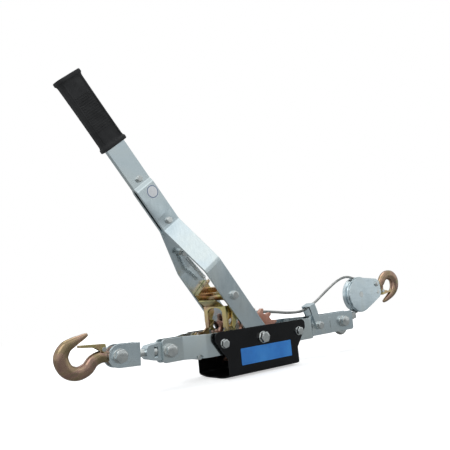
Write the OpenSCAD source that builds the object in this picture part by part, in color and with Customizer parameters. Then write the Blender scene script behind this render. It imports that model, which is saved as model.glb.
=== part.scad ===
// Hand cable puller (come along winch) with twin ratchet wheels,
// a forked lever handle, two pawls, a wire cable, a pulley block and two hooks.
// Millimetres. X runs along the frame towards the pulley block,
// Y runs across it, Z is up. It stands on the bottom of the guard.

// Every piece that can be drawn by itself

/* [Selection] */
// Piece to draw, or all of them

/* [Frame] */
// Height of the flat bars of the frame and the width of the handle strips
bar_height = 38; // [30:1:45]
// Thickness of the flat bars
bar_thick = 4; // [3:0.5:6]
// Height of the main axle above the ground
axle_height = 60; // [55:1:70]
// Outside half width of the frame at the ratchet wheels
frame_half = 38; // [34:0.5:44]
// Outside half width of the frame at its two ends
end_half = 11; // [9:0.5:14]
// Outside half width of the frame at the cable guide
guide_half = 12.5; // [11:0.5:15]
// Distance from the main axle to the left end of the frame
frame_left = 184; // [170:1:200]
// Distance from the main axle to the right end of the frame
frame_right = 275; // [255:1:290]
// Distance from the main axle to the outer left bend
bend_left = 117; // [110:1:125]
// Distance from the main axle to the outer right bend
bend_right = 127; // [120:1:135]
// Length of the frame taken by each bend inwards
bend_run = 28; // [24:1:34]
// Distance from the main axle to the step behind the cable guide
step_right = 205; // [195:1:215]
// Corner radius of the bar ends
bar_corner = 5; // [2:0.5:9]
// Radius of the bends in the bars, at mid thickness
bar_bend = 8; // [4:1:10]
// Distance from the main axle to the yoke bolt
yoke_at = 171; // [165:1:174]
// Distance from the main axle to the end bolt that holds the cable
end_bolt_at = 245; // [235:1:255]
// Distance from the main axle to the guide strap bolt
strap_at = 172; // [170:1:180]
// Distance from the main axle to each guard bolt
guard_bolt_at = 86; // [80:1:92]
// Diameter of the spring post across the left bends
post_diameter = 8; // [6:0.5:10]
// Distance of the spring post from the main axle
post_at = 126; // [122:1:130]
// Depth of the spring post below the main axle
post_drop = 17; // [10:0.5:18]

/* [Fasteners] */
// Thread diameter of the main bolt
main_thread = 10; // [8:1:12]
// Width across flats of the main bolt head
main_flats = 17; // [14:1:19]
// Thread diameter of the yoke, clevis and end bolts
big_thread = 12; // [10:1:14]
// Width across flats of the yoke, clevis and end bolt heads
big_flats = 19; // [17:1:22]
// Thread diameter of the guard, strap and pawl bolts
mid_thread = 8; // [6:1:10]
// Width across flats of the guard, strap and pawl bolt heads
mid_flats = 13; // [12:0.5:15]
// Thread diameter of the handle and spring bolts
small_thread = 6; // [5:0.5:7]
// Width across flats of the handle and spring bolt heads
small_flats = 10; // [8:0.5:11]
// Radial clearance of a bolt in a plain hole
hole_clearance = 0.1; // [0.05:0.05:0.3]
// Radial clearance of a running fit
run_clearance = 0.06; // [0.02:0.01:0.1]
// Gap between pieces that slide past each other
side_gap = 0.5; // [0.3:0.1:1]

/* [Ratchet and drum] */
// Number of ratchet teeth
tooth_count = 16; // [16:4:16]
// Radius over the tooth tips
tip_radius = 50.5; // [46:0.5:54]
// Radius at the tooth roots
root_radius = 42.5; // [38:0.5:45]
// Thickness of each ratchet wheel
ratchet_thick = 6; // [4:0.5:8]
// Gap between ratchet wheel and frame plate
ratchet_gap = 1; // [0.5:0.25:2]
// Radius of the drum barrel
barrel_radius = 18; // [15:0.5:22]
// Outside diameter of the axle tube
axle_tube_diameter = 16; // [14:0.5:18]
// Cable diameter
cable_diameter = 5; // [4:0.5:6]
// Radius of the cable centre line in the outer layer
layer_radius = 37; // [34:0.5:37]
// Spacing of the turns in the outer layer
turn_pitch = 5.7; // [5.5:0.1:7]
// Number of turns in the outer layer
turn_count = 8; // [6:1:9]

/* [Guard] */
// Gap between the handle strips and the guard
guard_gap = 0.5; // [0.3:0.1:2]
// Sheet thickness of the guard
guard_sheet = 2; // [1.5:0.5:2]
// Height of the guard's top edge above the axle
guard_top = 20; // [18:1:24]
// Half length of the guard at its top
guard_wing = 103; // [96:1:108]
// Half length of the guard at its bottom
guard_base = 80; // [74:1:86]
// Corner radius at the top of the guard
guard_corner = 8; // [4:1:12]
// Length of the label plate
label_length = 116; // [90:1:130]
// Height of the label plate
label_height = 28; // [20:1:32]
// Thickness of the label plate
label_thick = 0.5; // [0.3:0.1:1]

/* [Handle] */
// Angle of the handle above the frame
handle_angle = 125; // [100:1:130]
// Distance from axle to the top end of the handle strips
handle_length = 526; // [480:1:560]
// Distance from axle to the lower fork bend
fork_low = 162; // [150:1:175]
// Distance from axle to the upper fork bend
fork_high = 252; // [235:1:265]
// Outside half width of the two strips above the fork
neck_half = 7; // [5:0.5:9]
// Distance from axle to the step where the strips close up
neck_step = 329; // [320:1:335]
// Distance from axle to the upper handle bolt
bolt_upper_at = 345; // [342:1:355]
// Distance from axle to the lower handle bolt
bolt_lower_at = 260; // [258:1:275]
// Distance from axle to the round sticker
sticker_at = 315; // [300:1:315]
// Diameter of the round sticker
sticker_diameter = 23; // [15:1:24]
// Length of the handle strips inside the grip
grip_cover = 115; // [90:1:120]
// Length of the grip
grip_length = 130; // [122:1:140]
// Width of the grip body
grip_width = 46; // [43:1:50]
// Thickness of the grip body
grip_thick = 18; // [14:1:22]
// Width of the grip flanges
flange_width = 50; // [48:1:58]
// Thickness of the grip flanges
flange_thick = 25; // [20:1:28]
// Number of grip ribs
rib_count = 16; // [8:1:20]

/* [Pawls] */
// Distance from axle to the drive pawl bolt
drive_pivot = 95; // [90:1:100]
// Angle the drive pawl is lifted from the teeth
drive_lift = 9.5; // [9:0.5:11]
// Angle from the handle to the tooth that the drive pawl meets
drive_tooth = 35; // [35:1:35]
// Sheet thickness of both pawls
pawl_sheet = 3; // [2.5:0.5:3]
// Angle the holding pawl is lifted from the teeth
hold_lift = 12; // [12:0.5:13]
// Distance of the holding pawl's walls inside the outer ratchet faces
hold_inset = 1.4; // [0.5:0.1:2]
// Distance from axle to the spring bolt on the far strip
spring_bolt_at = 197; // [190:1:205]
// Wire diameter of both pawl springs
spring_wire = 1.5; // [1.2:0.1:1.8]
// Outside diameter of both pawl springs
spring_outside = 8; // [7:0.5:9]

/* [Left end] */
// Upward lean of the yoke, clevis and left hook
yoke_lean = 2.8; // [0:0.2:5]
// Distance from yoke bolt to the clevis bolt
clevis_at = 90; // [88:1:94]
// Half height of the clevis
clevis_half = 18; // [16:0.5:20]
// Diameter of the swivel pin
swivel_diameter = 12; // [10:0.5:13]

/* [Hooks] */
// Distance from the left hook's eye to its bowl centre
hook_reach = 64; // [62:1:70]
// Height of the left hook's bowl centre above its shank
bowl_rise = 5.5; // [4:0.5:8]
// Distance from the sheave to the right hook's bowl centre
block_reach = 104; // [100:1:108]

/* [Pulley block] */
// Distance from main axle to the sheave along X
sheave_x = 312; // [308:1:318]
// Height of the sheave above the main axle
sheave_z = 48; // [44:1:52]
// Upward lean of the pulley block
block_lean = 10; // [0:1:15]
// Sheave radius
sheave_radius = 37; // [34:0.5:40]
// Radius of the cable centre line on the sheave
sheave_wrap = 33; // [30:0.5:34]
// Half width of the sheave
sheave_half = 7; // [6:0.5:8]
// Thickness of the block plates
block_sheet = 3; // [2.5:0.5:4]
// Radius of the round end of the block plates
block_lobe = 35.5; // [32:0.5:36]
// Diameter of the sheave axle
sheave_axle_diameter = 12; // [10:0.5:14]
// Diameter of the right hook's shank
shank_diameter = 10; // [8:0.5:11]

/* [Cable guide] */
// Lean of the guide strap
strap_lean = 20; // [15:1:21]
// Width of the guide strap
strap_width = 16; // [15:1:18]
// Thickness of the guide strap
strap_thick = 3; // [2:0.5:4]
// Distance from the strap bolt to the underside of the strap's top
strap_reach = 41; // [41:0.5:44]

/* [Hidden] */
$fn = 48;
// Distance from the main axle to the middle of the whole length
mid_x = 45;
frame_in = frame_half - bar_thick;
half_bar = bar_height / 2;
strip_in = frame_half + side_gap;
strip_out = strip_in + bar_thick;
guard_in = strip_out + guard_gap;
guard_half = guard_in + guard_sheet;
grip_start = handle_length - grip_cover;
ratchet_out = frame_in - ratchet_gap;
ratchet_in = ratchet_out - ratchet_thick;
pitch_angle = 360 / tooth_count;
cable_r = cable_diameter / 2;
wrap_radius = layer_radius + cable_diameter + 0.3;
drive_half = strip_in - 1;
drive_in = drive_half - pawl_sheet;
hold_half = ratchet_out - hold_inset;
hold_in = hold_half - pawl_sheet;
// First tooth flank, so that both pawls fit between teeth
flank_angle = handle_angle + drive_tooth - pitch_angle * 7;
block_in = sheave_half + side_gap;
block_out = block_in + block_sheet;
clevis_in = 6.5;
clevis_out = clevis_in + 4;
clevis_wall = 36 - clevis_at;

// ---------- placing ----------
module placed() translate([-mid_x, 0, axle_height]) children();
module on_handle() placed() rotate([0, -handle_angle, 0]) children();
module at_yoke() placed() translate([-yoke_at, 0, 0]) rotate([0, yoke_lean, 0]) children();
module at_block() placed() translate([sheave_x, 0, sheave_z]) rotate([0, -block_lean, 0]) children();

// A flat shape drawn in X and Z, from y = a to y = b
module slab(a, b) translate([0, b, 0]) rotate([90, 0, 0]) linear_extrude(b - a) children();
// A flat shape drawn in X and Y, from z = a to z = b
module floor_slab(a, b) translate([0, 0, a]) linear_extrude(b - a) children();
// A round bar along Y
module bar_y(x, z, d, a, b) translate([x, b, z]) rotate([90, 0, 0]) cylinder(d = d, h = b - a);
module bar_x(a, b, d) translate([a, 0, 0]) rotate([0, 90, 0]) cylinder(d = d, h = b - a);

// Rectangle with true round corners
module round_rect(a, b, c, d, r) {
  translate([a + r, c]) square([b - a - 2 * r, d - c]);
  translate([a, c + r]) square([b - a, d - c - 2 * r]);
  for (x = [a + r, b - r])
    for (y = [c + r, d - r])
      translate([x, y]) circle(r = r);
}

module hex_y(x, z, af, a, b)
  translate([x, b, z]) rotate([90, 0, 0]) rotate(30) cylinder(d = af / cos(30), h = b - a, $fn = 6);

// Hexagon bolt along Y with its nut and two washers:
// under the head at y = a, under the nut at y = b.
module bolt_set(x, z, d, af, a, b, end) {
  wash = af * 1.2;
  wt = d * 0.12;
  weld = 0.1;
  hh = d * 0.64;
  nh = d * 0.8;
  bar_y(x, z, wash, a - wt, a);
  hex_y(x, z, af, a - wt - hh, a - wt + weld);
  bar_y(x, z, af * 0.92, a - wt - hh - 0.4, a - wt - hh + 0.2);
  bar_y(x, z, d, a - wt - weld, end);
  bar_y(x, z, wash, b, b + wt);
  hex_y(x, z, af, b + wt - weld, b + wt + nh);
}

// ---------- swept shapes ----------
function unit(v) = v / norm(v);
// Smooth curve through points P, k steps for each
function bend4(a, b, c, d, t) =
  0.5 * (2 * b + (c - a) * t + (2 * a - 5 * b + 4 * c - d) * t * t
  + (3 * b - a - 3 * c + d) * t * t * t);
function smooth(P, k) = concat(
  [for (i = [0:len(P) - 2]) for (j = [0:k - 1])
    bend4(P[max(i - 1, 0)], P[i], P[i + 1], P[min(i + 2, len(P) - 1)], j / k)],
  [P[len(P) - 1]]);
// Least gap of a tube of width w to itself, measured between all the points
// of its middle line that are k places or more apart
function least_gap(C, k, w) = min([for (i = [0:len(C) - 1 - k])
  min([for (j = [i + k:len(C) - 1]) norm(C[i] - C[j])])]) - w;
// Direction of a list of points at place i
function heading(C, i) = unit(C[min(i + 1, len(C) - 1)] - C[max(i - 1, 0)]);
// Rings of n points, radius r, round the points C, with side vectors N
function tube_rings(C, N, r, n) = [for (i = [0:len(C) - 1])
  let (t = heading(C, i), u = unit(N[i] - (N[i] * t) * t), v = cross(t, u))
  [for (j = [0:n - 1]) C[i] + r * cos(360 * j / n) * u + r * sin(360 * j / n) * v]];
module skin(R) {
  n = len(R[0]);
  m = len(R);
  polyhedron(
    points = [for (r = R) for (p = r) p],
    faces = concat(
      [[for (j = [0:n - 1]) j]],
      [for (i = [0:m - 2]) for (j = [0:n - 1])
        [i * n + j, (i + 1) * n + (j + 1) % n, i * n + (j + 1) % n]],
      [for (i = [0:m - 2]) for (j = [0:n - 1])
        [i * n + j, (i + 1) * n + j, (i + 1) * n + (j + 1) % n]],
      [[for (j = [0:n - 1]) m * n - 1 - j]]),
    convexity = 10);
}

// Outline of a strip of thickness t that is bent along the points P,
// each [x, y, radius of the bend], k steps to a bend
function spun(v, a) = [v[0] * cos(a) - v[1] * sin(a), v[0] * sin(a) + v[1] * cos(a)];
function flat2(p) = [p[0], p[1]];
function side_of(a, b) = let (v = unit(flat2(b) - flat2(a))) [-v[1], v[0]];
function bend_points(P, k) = concat(
  [[flat2(P[0]), side_of(P[0], P[1])]],
  [for (i = [1:len(P) - 2])
    let (n = side_of(P[i - 1], P[i]),
      m = side_of(P[i], P[i + 1]),
      turn = asin(n[0] * m[1] - n[1] * m[0]),
      r = P[i][2] * sign(turn),
      middle = flat2(P[i]) + [-n[1], n[0]] * r * tan(turn / 2) + n * r)
    for (j = [0:k])
      let (q = spun(n, turn * j / k))
      [middle - q * r, q]],
  [[flat2(P[len(P) - 1]), side_of(P[len(P) - 2], P[len(P) - 1])]]);
function bent_strip(P, t, k) = let (B = bend_points(P, k), n = len(B) - 1) concat(
  [for (b = B) b[0] + b[1] * t / 2],
  [for (i = [n:-1:0]) B[i][0] - B[i][1] * t / 2]);

// ---------- frame ----------
// Top view of the near bar, along the middle of its thickness
miter = bar_thick / 2 * tan(22.5);
bar_line = [
  [-frame_left, -end_half + bar_thick / 2],
  [-bend_left - bend_run + miter, -end_half + bar_thick / 2, bar_bend],
  [-bend_left + miter, -frame_half + bar_thick / 2, bar_bend],
  [bend_right - miter, -frame_half + bar_thick / 2, bar_bend],
  [bend_right + bend_run - miter, -guide_half + bar_thick / 2, bar_bend / 2],
  [step_right - 1, -guide_half + bar_thick / 2, 3],
  [step_right + 2, -end_half + bar_thick / 2, 3],
  [frame_right, -end_half + bar_thick / 2]];

module bar_side_view() {
  difference() {
    round_rect(-frame_left, frame_right, -half_bar, half_bar, bar_corner);
    circle(d = main_thread + 2 * hole_clearance);
    for (s = [-1, 1])
      translate([s * guard_bolt_at, 0]) circle(d = mid_thread + 2 * hole_clearance);
    translate([-yoke_at, 0]) circle(d = big_thread + 2 * hole_clearance);
    translate([end_bolt_at, 0]) circle(d = big_thread + 2 * hole_clearance);
    translate([strap_at, 0]) circle(d = mid_thread + 2 * hole_clearance);
    translate([-post_at, -post_drop]) circle(d = post_diameter + 2 * hole_clearance);
  }
}

module frame_bar() {
  intersection() {
    floor_slab(-half_bar, half_bar) polygon(bent_strip(bar_line, bar_thick, 5));
    slab(-frame_half - 1, 0) bar_side_view();
  }
}

module frame_plate_near() color("lightsteelblue") placed() frame_bar();
module frame_plate_far() color("lightsteelblue") placed() mirror([0, 1, 0]) frame_bar();

module axle_tube() color("silver") placed() {
  difference() {
    bar_y(0, 0, axle_tube_diameter, -frame_in, frame_in);
    bar_y(0, 0, main_thread + 2 * hole_clearance, -frame_in - 1, frame_in + 1);
  }
}

module main_bolt() color("silver") placed()
  bolt_set(0, 0, main_thread, main_flats, -guard_half, guard_half, guard_half + 11);

module handle_bush(a, b) difference() {
  bar_y(0, 0, axle_tube_diameter, a, b);
  bar_y(0, 0, main_thread + 2 * hole_clearance, a - 1, b + 1);
}
module handle_bush_near() color("silver") placed() handle_bush(-guard_in, -frame_half);
module handle_bush_far() color("silver") placed() handle_bush(frame_half, guard_in);

// Three tubes on one guard bolt: between the bars, and out to the guard
long_spacer = mid_thread + 4;
short_spacer = mid_thread + 6;
module spacer_row(x) {
  difference() {
    union() {
      bar_y(x, 0, long_spacer, -frame_in, frame_in);
      bar_y(x, 0, short_spacer, -guard_in, -frame_half);
      bar_y(x, 0, short_spacer, frame_half, guard_in);
    }
    bar_y(x, 0, mid_thread + 2 * hole_clearance, -guard_half, guard_half);
  }
}
module spacers_left() color("silver") placed() spacer_row(-guard_bolt_at);
module spacers_right() color("silver") placed() spacer_row(guard_bolt_at);
module guard_bolt_left() color("silver") placed()
  bolt_set(-guard_bolt_at, 0, mid_thread, mid_flats, -guard_half, guard_half, guard_half + 9);
module guard_bolt_right() color("silver") placed()
  bolt_set(guard_bolt_at, 0, mid_thread, mid_flats, -guard_half, guard_half, guard_half + 9);

// ---------- guard ----------
// Half of the cross-section of the guard, outside and inside,
// as distances from its walls and from the ground
guard_out_half = [for (p = [[25, 0], [13, 1.4], [3, 3.4], [0, 6]])
  [guard_half - p[0], p[1] - axle_height]];
guard_in_half = [for (p = [[0, 4.8], [1.8, 3.3], [11.3, 1.4], [23.1, 0]])
  [guard_in - p[0], p[1] + guard_sheet - axle_height]];
guard_split = 10 - axle_height;

module guard_wall_view() {
  difference() {
    union() {
      polygon([
        [-guard_base, guard_split], [guard_base, guard_split], [guard_base, -28],
        [guard_wing, 5], [guard_wing, guard_top - guard_corner],
        [guard_wing - guard_corner, guard_top], [-guard_wing + guard_corner, guard_top],
        [-guard_wing, guard_top - guard_corner], [-guard_wing, 5], [-guard_base, -28]]);
      for (s = [-1, 1])
        translate([s * (guard_wing - guard_corner), guard_top - guard_corner])
          circle(r = guard_corner);
    }
    circle(d = main_thread + 2 * hole_clearance);
    for (s = [-1, 1])
      translate([s * guard_bolt_at, 0]) circle(d = mid_thread + 2 * hole_clearance);
  }
}

module guard() color([0.05, 0.05, 0.06]) placed() {
  slab(-guard_half, -guard_in) guard_wall_view();
  slab(guard_in, guard_half) guard_wall_view();
  translate([-guard_base, 0, 0]) rotate([90, 0, 90]) linear_extrude(2 * guard_base)
    polygon(concat(
      [[-guard_half, guard_split], [-guard_half, guard_out_half[3][1]]],
      [for (i = [2:-1:0]) [-guard_out_half[i][0], guard_out_half[i][1]]],
      guard_out_half,
      [[guard_half, guard_split], [guard_in, guard_split]],
      guard_in_half,
      [for (i = [3:-1:0]) [-guard_in_half[i][0], guard_in_half[i][1]]],
      [[-guard_in, guard_split]]));
}

module label_plate() color([0.1, 0.4, 0.8]) placed()
  slab(-guard_half - label_thick, -guard_half)
    round_rect(5 - label_length / 2, 5 + label_length / 2,
      -27 - label_height / 2, -27 + label_height / 2, 1.5);

post_half = frame_half - (post_at - bend_left) * (frame_half - end_half) / bend_run;
module spring_post() color("silver") placed()
  bar_y(-post_at, -post_drop, post_diameter, -post_half, post_half);

// ---------- drum ----------
module drum() color("dimgray") placed() {
  difference() {
    bar_y(0, 0, 2 * barrel_radius, -ratchet_in, ratchet_in);
    bar_y(0, 0, axle_tube_diameter + 2 * run_clearance, -ratchet_out, ratchet_out);
  }
}

// Height of a tooth at each share of the pitch, 0 at the root and 1 at the tip
tooth_shape = [[0.0, 0.86], [0.06, 0.98], [0.14, 1], [0.22, 0.94], [0.30, 0.76],
  [0.38, 0.46], [0.46, 0.16], [0.54, 0], [0.92, 0], [0.98, 0.08]];
module ratchet_view() difference() {
  polygon([for (k = [0:tooth_count - 1]) for (p = tooth_shape)
    let (a = flank_angle + (k + p[0]) * pitch_angle,
      r = root_radius + (tip_radius - root_radius) * p[1])
    [r * cos(a), r * sin(a)]]);
  circle(d = axle_tube_diameter + 2 * run_clearance);
}
module ratchet_near() color([0.72, 0.42, 0.33]) placed()
  slab(-ratchet_out, -ratchet_in) ratchet_view();
module ratchet_far() color([0.72, 0.42, 0.33]) placed()
  slab(ratchet_in, ratchet_out) ratchet_view();

// ---------- cable ----------
inner_layer = layer_radius - cable_r - 0.5;
module cable_inner() color("gray") placed() {
  difference() {
    bar_y(0, 0, 2 * inner_layer, -ratchet_in + 0.3, ratchet_in - 0.3);
    bar_y(0, 0, 2 * barrel_radius + 0.4, -ratchet_in, ratchet_in);
  }
}

// Outer layer: one unbroken helix, straight along its heading at both ends
turn_steps = 24;
winding_y0 = -turn_pitch * turn_count / 2;
winding = [for (i = [0:turn_steps * turn_count])
  let (a = 270 + i * 360 / turn_steps)
  [layer_radius * cos(a), winding_y0 + i * turn_pitch / turn_steps, layer_radius * sin(a)]];
winding_side = [for (p = winding) [p[0], 0, p[2]]];
echo(winding_gap = least_gap(winding, turn_steps / 2, cable_diameter));
module cable_winding() color("gray") placed()
  skin(tube_rings(winding, winding_side, cable_r, 6));

// Free cable: partly round the drum, under the strap, over the sheave
run_drum = [for (a = [252:-12:96]) [wrap_radius * cos(a), 0, wrap_radius * sin(a)]];
run_free = [[8, 0, 42.4], [24, 0, 41.8], [42, 0, 40.2], [60, 0, 38.2], [80, 0, 35.4],
  [100, 0, 32.2], [120, 0, 30.4], [132, 0, 30.1], [144, 0, 31], [154, 0, 33.8],
  [166, 0, 38.2], [184, 0, 45.6], [205, 0, 57], [224, 0, 67.4], [242, 0, 76.6], [258, 0, 83],
  [272, 0, 86.6], [286, 0, 87.2], [298, 0, 84.6]];
run_sheave = [for (a = [94:-12:-74])
  [sheave_x + sheave_wrap * cos(a), 0, sheave_z + sheave_wrap * sin(a)]];
run_tail = [[311, 0, 14.5], [304, 0, 13.1], [297, 0, 11.5], [288, 0, 9.42]];
run_points = concat(run_drum, run_free, run_sheave, run_tail);
run_side = [for (p = run_points) [0, 1, 0]];
run_length = [for (i = [0:len(run_points) - 2]) norm(run_points[i + 1] - run_points[i])]
  * [for (i = [0:len(run_points) - 2]) 1];
echo(length_of_run = run_length, run_gap = least_gap(run_points, 10, cable_diameter));
module cable_run() color("gray") placed()
  skin(tube_rings(run_points, run_side, cable_r, 8));

// Eye of the cable round the thimble
eye_x = end_bolt_at + 2.5;
eye_z = -6.8;
eye_inside = 13.5;
eye_radius = eye_inside + 2.5 + cable_r + 0.3;
eye_points = concat(
  [[284, 0, 8.48], [279, 0, 7.33], [270, 0, 7.6], [260, 0, 9.6]],
  [for (a = [80:18:314]) [eye_x + eye_radius * cos(a), 0, eye_z + eye_radius * sin(a)]],
  [[267.5, 0, -10.5], [273, 0, -2.8], [279.6, 0, 1.5], [284, 0, 2.52]]);
eye_side = [for (p = eye_points) [0, 1, 0]];
echo(eye_gap = least_gap(eye_points, 8, cable_diameter));
module cable_eye() color("gray") placed()
  skin(tube_rings(eye_points, eye_side, cable_r, 8));

module cable_ferrule() color("silver") placed() {
  translate([279, 0, 4.35]) rotate([0, -13, 0]) difference() {
    slab(-4.2, 4.2) round_rect(0, 16, -6.6, 6.6, 2);
    for (s = [-1, 1])
      translate([0, 0, 2.9 * s]) bar_x(-1, 17, cable_diameter + 0.2);
  }
}

module thimble() color("silver") placed() {
  translate([eye_x, 0, eye_z]) rotate([90, 0, 0]) rotate_extrude($fn = 64)
    translate([eye_inside, 0])
      polygon([[0, -4.4], [4.6, -4.4], [4.6, -3], [2.5, -3],
        [2.5, 3], [4.6, 3], [4.6, 4.4], [0, 4.4]]);
}

module end_bolt() color("silver") placed()
  bolt_set(end_bolt_at, 0, big_thread, big_flats, -end_half, end_half, end_half + 14);

// Strap over the cable: its near leg is outside the frame, its far leg
// stands between the bars on two spacer tubes
strap_out = -guide_half - strap_thick;
strap_leg = cable_r + 0.7;
guide_in = guide_half - bar_thick;
module guide_strap() color("lightsteelblue") placed() {
  top = strap_reach + strap_thick;
  translate([strap_at, 0, 0]) rotate([0, -strap_lean, 0]) {
    for (y = [strap_out, strap_leg])
      slab(y, y + strap_thick)
        difference() {
          union() {
            circle(d = strap_width);
            translate([-strap_width / 2, 0]) square([strap_width, top]);
          }
          circle(d = mid_thread + 2 * hole_clearance);
        }
    translate([-strap_width / 2, strap_out, strap_reach])
      cube([strap_width, strap_leg + strap_thick - strap_out, strap_thick]);
    difference() {
      union() {
        bar_y(0, 0, 12, -guide_in, strap_leg + 0.1);
        bar_y(0, 0, 12, strap_leg + strap_thick - 0.1, guide_in);
      }
      bar_y(0, 0, mid_thread + 2 * hole_clearance, -guide_half, guide_half);
    }
  }
}

module strap_bolt() color("silver") placed()
  bolt_set(strap_at, 0, mid_thread, mid_flats, strap_out, guide_half, guide_half + 9);

// ---------- handle ----------
// Top view of the near strip along the middle of its thickness:
// distance along the handle, distance across, radius of the bend
half_thick = bar_thick / 2;
strip_line = [
  [-half_bar, -strip_out + half_thick],
  [fork_low - 0.4, -strip_out + half_thick, 20],
  [fork_high - 0.6, -neck_half + half_thick, 12],
  [neck_step - 0.5, -neck_half + half_thick, 6],
  [neck_step + 6.5, -half_thick, 6],
  [handle_length, -half_thick]];
module strip_face() difference() {
  union() {
    circle(r = half_bar);
    translate([0, -half_bar]) square([handle_length, bar_height]);
  }
  circle(d = axle_tube_diameter + 2 * run_clearance);
  translate([drive_pivot, 0]) circle(d = mid_thread + 2 * hole_clearance);
  translate([bolt_upper_at, 0]) circle(d = small_thread + 2 * hole_clearance);
  translate([bolt_lower_at, 0]) circle(d = small_thread + 2 * hole_clearance);
}
module strip() intersection() {
  floor_slab(-half_bar, half_bar) polygon(bent_strip(strip_line, bar_thick, 5));
  slab(-strip_out, 0) strip_face();
}
module handle_strip_near() color("lightsteelblue") on_handle() strip();
slant_angle = atan((strip_out - neck_half) / (fork_high - fork_low));
// Inner face of the far strip at the spring bolt
slant_y = strip_in - (spring_bolt_at - fork_low + 1) * tan(slant_angle);
module at_spring_bolt()
  translate([spring_bolt_at, slant_y, 0]) rotate([0, 0, -slant_angle]) children();
module handle_strip_far() color("lightsteelblue") on_handle() {
  difference() {
    mirror([0, 1, 0]) strip();
    at_spring_bolt() bar_y(0, 0, small_thread + 2 * hole_clearance, -20, 20);
  }
}
module handle_bolt_upper() color("silver") on_handle()
  bolt_set(bolt_upper_at, 0, small_thread, small_flats, -bar_thick, bar_thick, bar_thick + 7);
module handle_bolt_lower() color("silver") on_handle()
  bolt_set(bolt_lower_at, 0, small_thread, small_flats, -neck_half, neck_half, neck_half + 7);
module handle_spacer() color("silver") on_handle() {
  difference() {
    bar_y(bolt_lower_at, 0, 13, bar_thick - neck_half, neck_half - bar_thick);
    bar_y(bolt_lower_at, 0, small_thread + 2 * hole_clearance, -neck_half, neck_half);
  }
}
module handle_sticker() color("white") on_handle()
  bar_y(sticker_at, -6, sticker_diameter, -neck_half - 0.4, -neck_half);

module grip() color([0.12, 0.12, 0.13]) on_handle() {
  gw = grip_width / 2;
  gt = grip_thick / 2;
  fw = flange_width / 2;
  ft = flange_thick / 2;
  difference() {
    union() {
      translate([grip_start, 0, 0]) rotate([90, 0, 90])
        linear_extrude(grip_length) round_rect(-gt, gt, -gw, gw, 6);
      for (k = [0, 1]) {
        translate([grip_start + k * (grip_length - 7), 0, 0]) rotate([90, 0, 90])
          linear_extrude(7) round_rect(-ft + 1, ft - 1, -fw + 1, fw - 1, 8);
        translate([grip_start + 1.5 + k * (grip_length - 7), 0, 0]) rotate([90, 0, 90])
          linear_extrude(4) round_rect(-ft, ft, -fw, fw, 9);
      }
      for (i = [0:rib_count - 1])
        translate([grip_start + 32 + i * 4, -gt - 0.8, -17])
          cube([1.8, grip_thick + 1.6, 34]);
    }
    translate([grip_start - 1, -bar_thick - 0.2, -half_bar - 0.2])
      cube([handle_length - grip_start + 1.5, 2 * bar_thick + 0.4, bar_height + 0.4]);
  }
}

// ---------- drive pawl ----------
function polar(r, a) = [r * cos(a), r * sin(a)];
// The claw in mesh with a tooth, in handle directions
drive_claw = [polar(45.3, 31), polar(51, 32.5), [51, 27], [70, 15], [76, -4], [64, 2],
  [53, 16], polar(51, 24), polar(45.3, 27)];
drive_tail = [[68, 20], [82, 15], [104, 18], [115, 18], [120, -18],
  [104, -17], [84, -10], [72, -2]];
// With the claw in mesh: radius down to which its walls reach outside the
// frame bars, and outer radius of its pads between the bars
wall_radius = 52;
pad_radius = 57;
pad_out = frame_in - side_gap;
// Inner edge of the end flanges
flange_in = drive_in - 9.5;
module lifted()
  translate([drive_pivot, 0]) rotate(-drive_lift) translate([-drive_pivot, 0]) children();
module claw_wall_view() difference() {
  polygon(drive_claw);
  circle(r = wall_radius);
}
module drive_wall() difference() {
  union() {
    lifted() claw_wall_view();
    polygon(drive_tail);
  }
  translate([drive_pivot, 0]) circle(d = mid_thread + 2 * hole_clearance);
}
module drive_pawl() color([0.72, 0.6, 0.25]) on_handle() {
  difference() {
    union() {
      for (s = [-1, 1]) {
        slab(s > 0 ? drive_in : -drive_half, s > 0 ? drive_half : -drive_in) drive_wall();
        // Claw pad over the ratchet wheel, and the step out to it from the wall
        slab(s > 0 ? ratchet_in + 0.3 : -pad_out, s > 0 ? pad_out : -ratchet_in - 0.3)
          lifted() intersection() {
            polygon(drive_claw);
            circle(r = pad_radius);
          }
        slab(s > 0 ? pad_out - 0.1 : -drive_in - 0.1, s > 0 ? drive_in + 0.1 : 0.1 - pad_out)
          lifted() intersection() {
            claw_wall_view();
            circle(r = pad_radius);
          }
        // End flange
        slab(s > 0 ? flange_in : -drive_in, s > 0 ? drive_in : -flange_in)
          polygon([[115, 18], [120, -18], [117, -18.4], [112, 17.6]]);
      }
      // Cross web on the upper side
      slab(-drive_in, drive_in)
        polygon([[104, -17], [84, -10], [85, -7.2], [104, -14]]);
      bar_y(drive_pivot, 0, 15, -drive_in, drive_in);
    }
    bar_y(drive_pivot, 0, mid_thread + 2 * run_clearance, -drive_half - 1, drive_half + 1);
    // Hole for the spring end
    translate([110, drive_in - 6, -11.3]) rotate([0, 90, 0]) cylinder(d = 3.4, h = 15);
  }
}
module drive_pawl_bolt() color("silver") on_handle()
  bolt_set(drive_pivot, 0, mid_thread, mid_flats, -strip_out, strip_out, strip_out + 9);

module spring_bolt() color("silver") on_handle() at_spring_bolt() {
  outer = bar_thick * cos(slant_angle) + sin(slant_angle) + 0.05;
  bar_y(0, 0, small_thread, -13, outer + 6);
  bar_y(0, 0, small_flats, -13.5, -12);
  hex_y(0, 0, small_flats, -4.5, -0.05);
  hex_y(0, 0, small_flats, outer, outer + 4.5);
}

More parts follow.
